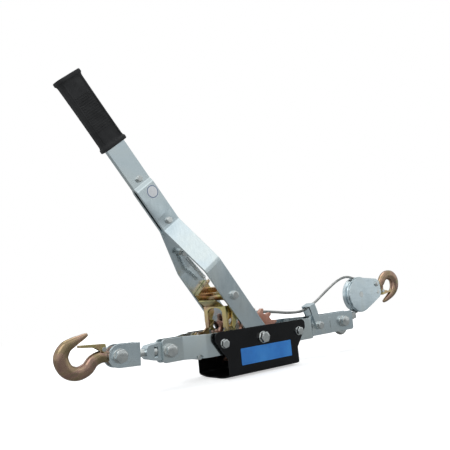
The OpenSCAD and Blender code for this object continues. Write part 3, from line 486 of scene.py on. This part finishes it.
def moulded_rubber():
    """Black rubber with a fine grain and pale scuffs."""
    k = Finish("moulded_grip")
    base = k.ramp(k.noise(40.0, 4.0), [(0.3, (0.010, 0.010, 0.011)), (0.7, (0.019, 0.019, 0.020))])
    scuff = k.span(k.noise(180.0, 5.0, 0.7), 0.60, 0.80, 0.0, 0.5)
    k.set("Base Color", k.mix(scuff, base, (0.042, 0.042, 0.044)))
    k.set("Roughness", k.span(k.noise(90.0), 0.3, 0.7, 0.55, 0.78))
    k.set("Specular IOR Level", 0.35)
    grain = k.new("ShaderNodeTexVoronoi")
    grain.inputs["Scale"].default_value = 900
    k.link(k.coord, grain.inputs["Vector"])
    k.set("Normal", k.bump(grain.outputs["Distance"], 0.5, 0.0003))
    return k.mat


def film(name, tones, rough, ring=None):
    """Bare label film. ring is (centre, inner radius, outer radius, colour) of a plain border."""
    k = Finish(name)
    base = k.ramp(k.noise(30.0, distort=0.4), tones)
    if ring:
        centre, inner, outer, colour = ring
        away = k.new("ShaderNodeVectorMath", operation="DISTANCE")
        k.link(k.coord, away.inputs[0])
        away.inputs[1].default_value = centre
        away, soft = away.outputs["Value"], 0.0002
        inside = k.span(away, inner - soft, inner + soft)
        outside = k.span(away, outer - soft, outer + soft, 1.0, 0.0)
        base = k.mix(k.math("MULTIPLY", inside, outside), base, colour)
    k.set("Base Color", base)
    k.set("Roughness", k.span(k.noise(120.0), 0.3, 0.7, rough, rough + 0.14))
    k.set("Normal", k.bump(k.noise(300.0, 2.0), 0.08, 0.0002))
    k.set("Coat Weight", 0.3)
    return k.mat


ZINC_TONES = [(0.30, (0.50, 0.58, 0.62)), (0.48, (0.60, 0.67, 0.70)), (0.62, (0.63, 0.68, 0.68)),
              (0.75, (0.56, 0.64, 0.69))]
ZINC = plated("zinc_frame", ZINC_TONES)
# The handle leans 35 degrees from upright, and so do its rolling streaks
ZINC_HANDLE = plated("zinc_handle", ZINC_TONES, streak=(40, 40, 4),
                     turn=(0, math.radians(90 - HANDLE_DEG), 0), arch=(0.262, 0.318, 0.0009))
ZINC_STAMPED = plated("zinc_stamped", [(0.3, (0.58, 0.66, 0.70)), (0.5, (0.66, 0.74, 0.78)),
                                       (0.7, (0.64, 0.70, 0.71))],
                      blotch=26, speck=0.08, bump=0.02)
FASTENER = plated("bright_zinc", [(0.3, (0.50, 0.52, 0.52)), (0.55, (0.66, 0.67, 0.66)),
                                  (0.75, (0.56, 0.58, 0.56))],
                  blotch=90, streak=(90, 90, 90), rough=(0.13, 0.24), edge_r=0.0003, bump=0.05)
GOLD = plated("yellow_zinc", [(0.25, (0.34, 0.32, 0.14)), (0.40, (0.52, 0.45, 0.19)),
                              (0.52, (0.62, 0.48, 0.24)), (0.60, (0.60, 0.39, 0.26)),
                              (0.72, (0.38, 0.39, 0.19))],
              blotch=30, streak=(20, 20, 20), rough=(0.17, 0.30), edge=(0.84, 0.76, 0.48),
              grime=(0.18, 0.13, 0.06), speck=0.2, bump=0.06)
FORGED = plated("yellow_zinc_forged", [(0.25, (0.24, 0.19, 0.10)), (0.40, (0.34, 0.25, 0.15)),
                                       (0.52, (0.42, 0.28, 0.20)), (0.62, (0.36, 0.22, 0.18)),
                                       (0.74, (0.27, 0.25, 0.14))],
                blotch=40, streak=(30, 30, 30), rough=(0.18, 0.32), edge=(0.80, 0.66, 0.46),
                grime=(0.12, 0.08, 0.05), bump=0.14, speck=0.3)
COPPER = plated("copper_zinc", [(0.30, (0.46, 0.21, 0.15)), (0.48, (0.66, 0.34, 0.26)),
                                (0.62, (0.74, 0.44, 0.34)), (0.76, (0.56, 0.32, 0.27))],
                blotch=50, streak=(40, 40, 40), rough=(0.28, 0.42), edge=(0.92, 0.68, 0.56),
                grime=(0.20, 0.08, 0.05), bump=0.10, speck=0.25)
SPRING = plated("spring_wire", [(0.3, (0.50, 0.52, 0.53)), (0.7, (0.66, 0.68, 0.68))],
                blotch=140, streak=(50, 50, 50), rough=(0.18, 0.32), edge_r=0.0001)
DRUM = plated("drum_steel", [(0.3, (0.26, 0.26, 0.26)), (0.7, (0.40, 0.40, 0.39))],
              blotch=60, rough=(0.35, 0.5))
CABLE = wire_rope()
BLACK = black_paint()
GRIP = moulded_rubber()
BLUE = film("blue_label", [(0.3, (0.012, 0.16, 0.52)), (0.5, (0.016, 0.20, 0.62)),
                           (0.7, (0.03, 0.25, 0.68))], 0.28)
PALE = film("pale_label", [(0.3, (0.62, 0.64, 0.66)), (0.7, (0.76, 0.78, 0.80))], 0.30,
            (on_handle(STICKER_AT, -NECK_HALF - 0.4, -6), 0.0093, 0.0107, (0.07, 0.15, 0.28)))


def paint(material, *names):
    for n in names:
        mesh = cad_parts[n].data
        mesh.materials.clear()
        mesh.materials.append(material)
        for p in mesh.polygons:
            p.material_index = 0


paint(ZINC, "frame_plate_near", "frame_plate_far", "guide_strap")
paint(ZINC_HANDLE, "handle_strip_near", "handle_strip_far")
paint(ZINC_STAMPED, "frame_yoke", "hook_clevis", "block_plate_near", "block_plate_far",
      "swivel_block", "sheave")
paint(GOLD, "drive_pawl", "holding_pawl", "anchor_latch", "load_latch")
paint(FORGED, "anchor_hook", "load_hook")
paint(COPPER, "ratchet_near", "ratchet_far")
paint(CABLE, "cable_inner", "cable_winding", "cable_run", "cable_eye")
paint(DRUM, "drum", "axle_tube")
paint(BLACK, "guard")
paint(BLUE, "label_plate")
paint(PALE, "handle_sticker")
paint(GRIP, "grip")
paint(SPRING, "drive_pawl_spring", "holding_pawl_spring")
paint(FASTENER, "main_bolt", "handle_bush_near", "handle_bush_far", "spacers_left",
      "spacers_right", "guard_bolt_left", "guard_bolt_right", "spring_post", "cable_ferrule",
      "thimble", "end_bolt", "strap_bolt", "handle_bolt_upper", "handle_bolt_lower",
      "handle_spacer", "drive_pawl_bolt", "spring_bolt", "yoke_bolt", "swivel_pin",
      "clevis_bolt", "anchor_latch_pin", "sheave_axle", "block_rivet_upper",
      "block_rivet_lower", "load_latch_pin")


# ---------------------------------------------------------------------------
# The wire cable
# ---------------------------------------------------------------------------
def arc(cx, cz, r, a0, a1, step):
    n = max(1, round(abs(a1 - a0) / step))
    angles = [math.radians(a0 + (a1 - a0) * i / n) for i in range(n + 1)]
    return [row(cx + r * math.cos(a), 0, cz + r * math.sin(a)) for a in angles]


def flat(points):
    """Points in the frame's middle plane."""
    return [row(x, 0, z) for x, z in points]


def wire(name, points, body, node, step=0.0014, radius=0.0025, per=5):
    path = resample(points, step)
    piece = make(name, *rope(path, radius, per), CABLE, 50)
    fitted(piece, body, node)
    return piece, path


# From the drum under the strap, over the sheave and back to the ferrule
run = arc(0, 0, WRAP_R, 252, 96, 12)
run += flat([(8, 42.4), (24, 41.8), (42, 40.2), (60, 38.2), (80, 35.4), (100, 32.2), (120, 30.4),
             (132, 30.1), (144, 31), (154, 33.8), (166, 38.2), (184, 45.6), (205, 57), (224, 67.4),
             (242, 76.6), (258, 83), (272, 86.6), (286, 87.2), (298, 84.6)])
run += arc(SHEAVE_X, SHEAVE_Z, 33, 94, -74, 12)
run += flat([(311, 14.5), (304, 13.1), (297, 11.5), (288, 9.42)])
cable, run_path = wire("wire_cable", run, "frame", "cable_run")

# The eye, out of the ferrule, round the thimble and back into it
eye = flat([(284, 8.48), (279, 7.33), (270, 7.6), (260, 9.6)])
eye += arc(EYE_X, EYE_Z, EYE_R, 80, 314, 18)
eye += flat([(267.5, -10.5), (273, -2.8), (279.6, 1.5), (284, 2.52)])
wire("wire_eye", eye, "frame", "cable_eye")

# The turns on the drum, 60 steps to each
wound = []
for i in range(TURNS * 60 + 1):
    a = math.radians(270 + i * 6)
    wound.append(row(LAYER_R * math.cos(a), -PITCH * TURNS / 2 + i * PITCH / 60,
                     LAYER_R * math.sin(a)))
wire("wound_cable", wound, "drum_set", "cable_winding", 0.0022, 0.00255, 4)


# ---------------------------------------------------------------------------
# Pawl springs, with their loops
# ---------------------------------------------------------------------------
def spring(name, node, place, A, ra, B, rb, turns):
    """A coiled wire with a loop of radius ra round A and one of rb round B."""
    A, B = Vector(A), Vector(B)
    d = (B - A).normalized()
    u = d.cross(Vector((0, 1, 0))).normalized()
    w = d.cross(u)
    coil = (SPRING_OUTSIDE - SPRING_WIRE) / 2

    def loop(c, e, r):
        return [c + r * (math.cos(math.radians(g)) * e + math.sin(math.radians(g)) * u)
                for g in range(200, 481, 10)]

    start, end = A + d * (ra + 6), B - d * (rb + 6)
    pts = loop(A, -d, ra)[::-1] + [A + d * (ra + 3)]
    n = turns * 20
    for i in range(n + 1):
        g = math.radians(18 * i)
        k = min(1.0, min(i, n - i) / 10)
        pts.append(start + (end - start) * (i / n) + coil * k * (math.cos(g) * u + math.sin(g) * w))
    pts += [B - d * (rb + 3)] + loop(B, d, rb)
    ob = make(name, *tube([place(*p) for p in pts], SPRING_WIRE / 2000, 8), SPRING, 60)
    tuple(place(*start))
    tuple(place(*end))
    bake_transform(ob)
    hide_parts(node)


WIRE_SEAT = SPRING_WIRE / 2 + 0.3
SLANT = math.atan((STRIP_OUT - NECK_HALF) / (FORK_HIGH - FORK_LOW))
SLANT_Y = STRIP_IN - (SPRING_BOLT_AT - FORK_LOW + 1) * math.tan(SLANT)
spring("drive_spring", "drive_pawl_spring", on_handle,
       (SPRING_BOLT_AT - 9 * math.sin(SLANT), SLANT_Y - 9 * math.cos(SLANT), 0), 3 + WIRE_SEAT,
       (118.2, 28.5, -15.5), 4.2, 26)
# Known fault: here A is the pawl's stud and B the frame's post, so the
# two bodies are the wrong way round
spring("holding_spring", "holding_pawl_spring", row,
       (-88.5, 24.5, 14), 2 + WIRE_SEAT, (-POST_AT, 18, -POST_DROP), POST_R + WIRE_SEAT, 13)


# ---------------------------------------------------------------------------
# Bolts with chamfered heads, washers, nuts and threads
# ---------------------------------------------------------------------------
def bolt(name, body, node, place, x, size, near, far, end, spin):
    """near and far are the faces that it clamps, and its thread reaches to end."""
    d, flats = size
    washer_r, washer, head, nut = flats * 1.2 / 2, d * 0.12, d * 0.64, d * 0.8
    k = Build(place)
    for y0, y1 in ((near - washer, near), (far, far + washer)):
        k.lathe([(y0, d / 2), (y0, washer_r - 0.3), (y0 + 0.2, washer_r), (y1 - 0.2, washer_r),
                 (y1, washer_r - 0.3), (y1, d / 2)], x, 0)
    top, half_nut = near - washer - head, far + washer + nut * 0.5
    k.hexagon(x, 0, flats, top, near - washer, spin, False)
    k.lathe([(top - 0.35, 0.01), (top - 0.35, flats * 0.40), (top - 0.1, flats * 0.445),
             (top + 0.1, flats * 0.46)], x, 0)
    k.lathe([(near - washer, d / 2), (half_nut, d / 2)], x, 0)
    k.hexagon(x, 0, flats, far + washer, far + washer + nut, spin + 0.35, True)
    k.thread(x, 0, d, half_nut, end, 1.0 + d * 0.05)
    fitted(k.done(name, FASTENER, 18), body, node)


for line in (
        ("axle_bolt", "frame", "main_bolt", row, 0, M10, -45, 45, 56, 0.1),
        ("guard_bolt_a", "frame", "guard_bolt_left", row, -GUARD_BOLT_AT, M8, -45, 45, 54, 0.3),
        ("guard_bolt_b", "frame", "guard_bolt_right", row, GUARD_BOLT_AT, M8, -45, 45, 54, 0.75),
        ("yoke_bolt_set", "frame", "yoke_bolt", row, -YOKE_AT, M12, -11, 11, 25, 0.45),
        ("end_bolt_set", "frame", "end_bolt", row, END_BOLT_AT, M12, -11, 11, 25, 0.55),
        ("strap_bolt_set", "frame", "strap_bolt", row, STRAP_AT, M8, -15.5, 12.5, 21.5, 0.6),
        ("clevis_bolt_set", "clevis", "clevis_bolt", at_yoke, -CLEVIS_AT, M12, -10.5, 10.5, 23.5,
         0.25),
        ("pawl_bolt_set", "lever", "drive_pawl_bolt", on_handle, PAWL_BOLT_AT, M8, -42.5, 42.5,
         51.5, 0.5),
        ("handle_bolt_a", "lever", "handle_bolt_upper", on_handle, UPPER_BOLT_AT, M6, -4, 4, 11,
         0.1),
        ("handle_bolt_b", "lever", "handle_bolt_lower", on_handle, LOWER_BOLT_AT, M6, -7, 7, 14,
         0.8)):
    bolt(*line)


def block_cross_bolt():
    """The upper cross bolt of the pulley block, domed at its near end."""
    k = Build(at_block)
    x, z, near = 54.5, 8.8, -10.5
    k.lathe([(near, 2.6), (near, 5.2), (near - 0.3, 5.5), (near - 1.4, 5.5), (near - 2.2, 5.0),
             (near - 2.8, 3.6), (near - 3.0, 1.8), (near - 3.0, 0.01)], x, z)
    k.lathe([(near, 2.5), (11.5, 2.5)], x, z, 24)
    k.lathe([(10.5, 2.6), (10.5, 3.8), (10.8, 4), (11.6, 4), (12.1, 3), (12.1, 0.01)], x, z, 32)
    fitted(k.done("block_cross_bolt", FASTENER), "frame", "block_rivet_upper")


block_cross_bolt()

# ---------------------------------------------------------------------------
# Forged hooks, round the middle of the bowl: x, z, half depth and half width
# ---------------------------------------------------------------------------
ANCHOR_LINE = [(-54, -5.5, 8, 5.6), (-46, -4.8, 8.8, 6), (-36, -4.6, 9.6, 6.4), (-24, -9.5, 10, 7),
               (-14, -20, 10.4, 7.5), (2, -25, 10.5, 7.8), (18, -18.5, 11, 8), (26, -1, 11.5, 8),
               (19, 14, 9.8, 7.4), (6, 21.4, 7.4, 6.2), (-4, 25.6, 5.4, 4.8), (-11, 28.6, 4.2, 4),
               (-16, 30.6, 2.6, 3)]
LOAD_LINE = [(-38.4, -8, 7.4, 6), (-35.4, -8, 8.2, 6.2), (-29, -9, 8.4, 6.5), (-20, -14, 8.4, 6.8),
             (-10.7, -21.5, 8.6, 7.2), (2.5, -24.3, 9.9, 7.6), (17, -19.4, 11.2, 7.8),
             (24, -9, 11.6, 8), (23, 2, 11.2, 7.8), (17, 11.5, 9.8, 7.2), (5.6, 19.2, 7.8, 6.2),
             (-8, 24, 6, 5), (-19, 26.8, 4.6, 4), (-26, 28.2, 2.8, 3)]
# Latch pins, x and z
ANCHOR_LATCH, LOAD_LATCH = (-40, 6.9), (-27, 4.4)


def hook(name, body, node, place, line, extras):
    fine = curve([Vector(p) for p in line], 8)
    k = Build(place)
    rings = []
    for i, p in enumerate(fine):
        before, after = fine[max(i - 1, 0)], fine[min(i + 1, len(fine) - 1)]
        t = Vector((after.x - before.x, 0, after.y - before.y)).normalized()
        out = t.cross(Vector((0, 1, 0)))
        ring = []
        for a in circle(26):
            # A forging's section: flatter sides than an ellipse
            ca, sa = math.cos(a), math.sin(a)
            ca = math.copysign(abs(ca) ** 0.9, ca)
            sa = math.copysign(abs(sa) ** 0.85, sa)
            v = Vector((p.x, 0, p.y)) + p.z * 0.99 * ca * out
            ring.append((v.x, p.w * 0.98 * sa, v.z))
        rings.append(ring)
    # The rounded tip
    tip = fine[-1]
    rings.append([(tip.x + (q[0] - tip.x) * 0.5 - 0.6, q[1] * 0.5,
                   tip.y + (q[2] - tip.y) * 0.5 + 0.35) for q in rings[-1]])
    k.rings(rings)
    extras(k)
    fitted(k.done(name, FORGED, 55), body, node)


def lug(k, outline, px, pz):
    """The latch's lug, and the round boss for its pin."""
    k.rings([[(x, y, z) for x, z in outline] for y in (-4, -3.4, 3.4, 4)])
    k.lathe([(-4.05, 0.01), (-4.05, 4.1), (-3.6, 4.5), (3.6, 4.5), (4.05, 4.1), (4.05, 0.01)],
            px, pz, 32)


def anchor_extras(k):
    """The flat eye round the clevis bolt, and the latch's lug."""
    eye = [(-6, 6.3), (-6, 13.6), (-5.3, 14.6), (-3.8, 15), (3.8, 15), (5.3, 14.6), (6, 13.6),
           (6, 6.3), (5.4, 6.06), (-5.4, 6.06), (-6, 6.3)]
    k.rings([[(-HOOK_REACH + r * math.cos(a), y, -BOWL_RISE + r * math.sin(a))
              for a in circle(56)] for y, r in eye], False)
    px, pz = ANCHOR_LATCH
    lug(k, [(px - 6, 0), (px - 4.4, pz), (px + 4.4, pz), (px + 6, -2)], px, pz)


def load_extras(k):
    """The swivel shank with its head, and the latch's lug."""
    shank = [(-60.2, 5), (-36, 5)]
    head = [(-63, 3), (-63, 6.2), (-62.4, 7), (-57, 7), (-56.3, 6.4), (-56.3, 5)]
    for profile in (shank, head):
        k.rings([[(x, r * math.cos(a), -LOAD_DROP + r * math.sin(a)) for a in circle(40)]
                 for x, r in profile])
    px, pz = LOAD_LATCH
    lug(k, [(px - 6, -4), (px - 4.4, pz), (px + 4.4, pz), (px + 7, -8)], px, pz)


hook("left_hook_forging", "left_hook", "anchor_hook", at_anchor, ANCHOR_LINE, anchor_extras)
hook("right_hook_forging", "right_hook", "load_hook", at_load, LOAD_LINE, load_extras)


# ---------------------------------------------------------------------------
# Handle grip
# ---------------------------------------------------------------------------
def rounded(w, t, r, n=7):
    """Outline of a rounded rectangle, half sizes w along z and t along y."""
    out = []
    for cz, cy, a0 in ((w - r, t - r, 0), (-w + r, t - r, 90), (-w + r, -t + r, 180),
                       (w - r, -t + r, 270)):
        for i in range(n + 1):
            a = math.radians(a0 + 90 * i / n)
            out.append((cz + r * math.cos(a), cy + r * math.sin(a)))
    return out


def grip():
    k = Build(on_handle)
    # Place along the grip, half width, half thickness and corner radius
    flange = [(0, 23.7, 11.2, 7.5), (0.6, 24.4, 11.9, 8.2), (1.8, 24.9, 12.4, 8.6),
              (5.2, 24.9, 12.4, 8.6), (6.4, 24.4, 11.9, 8.2), (7.4, 23.8, 10.4, 7.4),
              (9.5, 23.2, 9.2, 6.2)]
    body = [(s, 23.0 - 0.35 * math.sin(math.pi * (s - 10) / 110), 9.0, 6.0)
            for s in range(12, 119, 3)]
    other = [(GRIP_LENGTH - s, w, t, r) for s, w, t, r in reversed(flange)]
    k.rings([[(GRIP_AT + s, y, z) for z, y in rounded(w, t, r)]
             for s, w, t, r in flange + body + other])
    # Raised rails along both edges of both faces, and the ribs between them
    rib = ((-1.0, 8.7), (-0.75, 9.45), (-0.3, 9.75), (0.3, 9.75), (0.75, 9.45), (1.0, 8.7))
    for side in (-1, 1):
        for e in (-1, 1):
            z0, z1 = sorted((e * 16.6, e * 18.8))
            k.rings([[(GRIP_AT + s, side * y, z) for z, y in
                      ((z0, 8.6), (z0, h - 0.3), (z0 + 0.3, h), (z1 - 0.3, h), (z1, h - 0.3),
                       (z1, 8.6))]
                     for s, h in ((9, 8.8), (12, 9.75), (118, 9.75), (121, 8.8))])
        for i in range(16):
            c = 32 + i * 4 + 0.9
            k.rings([[(GRIP_AT + c + ds, side * h, z) for ds, h in rib]
                     for z in (-15.8, -15.2, 15.2, 15.8)])
    fitted(k.done("handle_grip", GRIP, 40), "lever", "grip")


grip()


# ---------------------------------------------------------------------------
# Floor, light and white background
# ---------------------------------------------------------------------------
def floor_disc(radius=1.5, n=96, drop=0.0002):
    """A pale round floor. To the camera it brightens to white outwards; metal sees it dimmer."""
    verts = [(0, 0, -drop)]
    verts += [(radius * math.cos(a), radius * math.sin(a), -drop) for a in circle(n)]
    faces = [(0, 1 + j, 1 + (j + 1) % n) for j in range(n)]
    material = bpy.data.materials.new("floor")
    k = Nodes(material)
    away = k.new("ShaderNodeVectorMath", operation="LENGTH")
    k.link(k.new("ShaderNodeTexCoord").outputs["Object"], away.inputs[0])
    rim = k.span(away.outputs["Value"], 0.45, 1.0, 0.52, 1.0)
    path = k.new("ShaderNodeLightPath")
    glow = k.new("ShaderNodeEmission")
    k.link(k.math("MULTIPLY", rim, path.outputs["Is Camera Ray"]), glow.inputs["Strength"])
    matt = k.new("ShaderNodeBsdfDiffuse")
    k.link(k.mix(path.outputs["Is Glossy Ray"], (0.82, 0.82, 0.82), (0.40, 0.42, 0.42)),
           matt.inputs[0])
    both = k.new("ShaderNodeAddShader")
    k.link(matt.outputs[0], both.inputs[0])
    k.link(glow.outputs[0], both.inputs[1])
    k.link(both.outputs[0], k.new("ShaderNodeOutputMaterial").inputs[0])
    make("floor", verts, faces, material)


floor_disc()


def studio():
    """White to the camera; to metal, pale overhead and at the sides, dim low down in front."""
    world = bpy.data.worlds.new("studio")
    scene.world = world
    k = Nodes(world)

    def background(colour, strength):
        n = k.new("ShaderNodeBackground")
        k.feed(n.inputs[0], colour)
        k.feed(n.inputs[1], strength)
        return n.outputs[0]

    def choose(fac, a, b):
        n = k.new("ShaderNodeMixShader")
        for socket, value in zip(n.inputs, (fac, a, b)):
            k.link(value, socket)
        return n.outputs[0]

    split = k.new("ShaderNodeSeparateXYZ")
    k.link(k.new("ShaderNodeTexCoord").outputs["Generated"], split.inputs[0])
    x, z = split.outputs["X"], split.outputs["Z"]
    # Dim near the horizon, a pale band just over it, and pale again overhead
    rise = k.ramp(k.span(z, -1, 1), [
        (pos, (level,) * 3) for pos, level in (
            (0.0, 0.30), (0.52, 0.28), (0.537, 0.85), (0.550, 1.05), (0.566, 1.05), (0.580, 0.56),
            (0.605, 0.68), (0.65, 0.72), (0.75, 0.84), (1.0, 1.0))])
    left = k.span(x, 0.30, -0.40, 0.0, 0.80, interpolation_type="SMOOTHSTEP")
    right = k.span(x, 0.62, 0.76, 0.0, 0.85, interpolation_type="SMOOTHSTEP")
    pale = k.math("MAXIMUM", rise, k.math("MAXIMUM", left, right))
    shine = background(k.mix(1.0, pale, (0.93, 0.985, 1.0), "MULTIPLY"), 1.0)
    path = k.new("ShaderNodeLightPath")
    mirrored = k.math("MAXIMUM", path.outputs["Is Glossy Ray"], path.outputs["Is Transmission Ray"])
    unseen = choose(mirrored, background((0.96, 0.98, 1.0), 0.55), shine)
    seen = choose(path.outputs["Is Camera Ray"], unseen, background((1, 1, 1), 1.0))
    k.link(seen, k.new("ShaderNodeOutputWorld").inputs[0])


studio()


def softbox(name, place, target, size, power):
    data = bpy.data.lights.new(name, "AREA")
    data.shape = "RECTANGLE"
    data.size, data.size_y = size
    data.energy = power
    ob = bpy.data.objects.new(name, data)
    scene.collection.objects.link(ob)
    ob.location = place
    ob.rotation_mode = "QUATERNION"
    ob.rotation_quaternion = (Vector(target) - Vector(place)).to_track_quat("-Z", "Y")


softbox("key", (-1.5, -1.9, 2.0), (0, 0, 0.15), (1.5, 1.5), 12)
softbox("front", (0.55, -1.85, 1.60), (-0.08, 0, 0.22), (1.0, 0.8), 1.3)
softbox("top", (0.1, 0.5, 2.4), (0, 0, 0.1), (2.0, 1.4), 16)

scene.view_settings.view_transform = "Standard"
